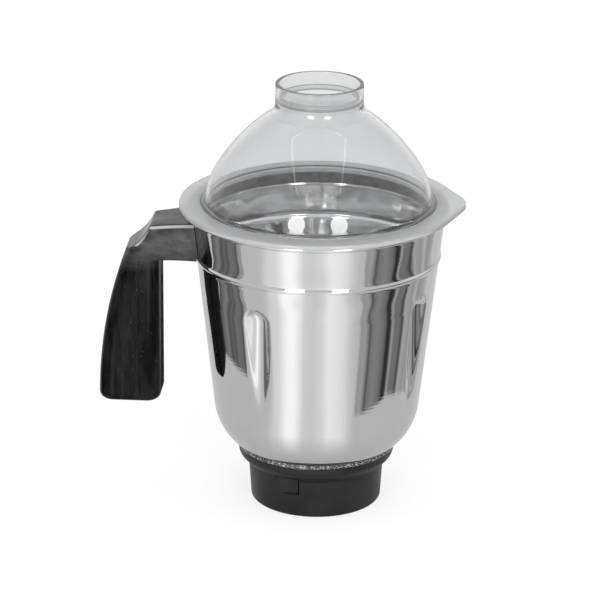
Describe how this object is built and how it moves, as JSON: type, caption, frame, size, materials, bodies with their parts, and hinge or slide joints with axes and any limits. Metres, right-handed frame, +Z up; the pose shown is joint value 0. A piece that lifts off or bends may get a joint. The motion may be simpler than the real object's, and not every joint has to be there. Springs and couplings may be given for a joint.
{
  "type": "blender jar",
  "caption": "Mirror-steel mixer jar with a clear domed lid, black side handle, black locking base and a spinning blade set driven by a jaw coupler under the base.",
  "frame": {"origin": "on the jar's axis, in the plane of the base's foot", "axes": "+Z up the jar's axis, the handle on -X and the lid's finger lip on +X"},
  "size_m": [0.2259, 0.171, 0.2693],
  "materials": {
    "mirror_steel": "mirror-polished stainless sheet",
    "clear_plastic": "clear moulded plastic",
    "pale_rubber": "translucent silicone",
    "black_gloss": "glossy black with light scuffs",
    "black_satin": "satin black",
    "plain_steel": "zinc-plated",
    "blade_steel": "ground stainless",
    "grey_sealant": "speckled grey sealant",
    "dark_rubber": "moulded rubber",
    "cast_alloy": "die-cast, turned faces",
    "bronze": "turned"
  },
  "bodies": {
    "jar": {"jar_body": "mirror_steel", "lid": "clear_plastic", "lid_gasket": "pale_rubber", "handle_shell": "black_gloss", "handle_cover": "black_gloss", "handle_bracket": "plain_steel", "handle_screw": "plain_steel", "cover_screws": "plain_steel", "jar_base": "black_satin", "base_seal": "grey_sealant", "base_screws": "plain_steel", "weld_nuts": "plain_steel", "bush_housing": "cast_alloy", "hub_gasket": "dark_rubber", "hub_washer": "plain_steel", "housing_nut": "plain_steel", "bearing_bushes": "bronze", "shaft_seal": "dark_rubber"},
    "rotor": {"blade_shaft": "plain_steel", "lower_blade": "blade_steel", "upper_blade": "blade_steel", "blade_washer": "plain_steel", "blade_nut": "blade_steel", "thrust_washer": "bronze", "circlip": "plain_steel", "drive_coupler": "black_satin", "coupler_insert": "bronze"}
  },
  "joints": [
    {"name": "blade_spin", "type": "hinge", "parent": "jar", "child": "rotor", "pos_m": [0, 0, 0.05], "axis": [0, 0, 1], "continuous": true}
  ]
}
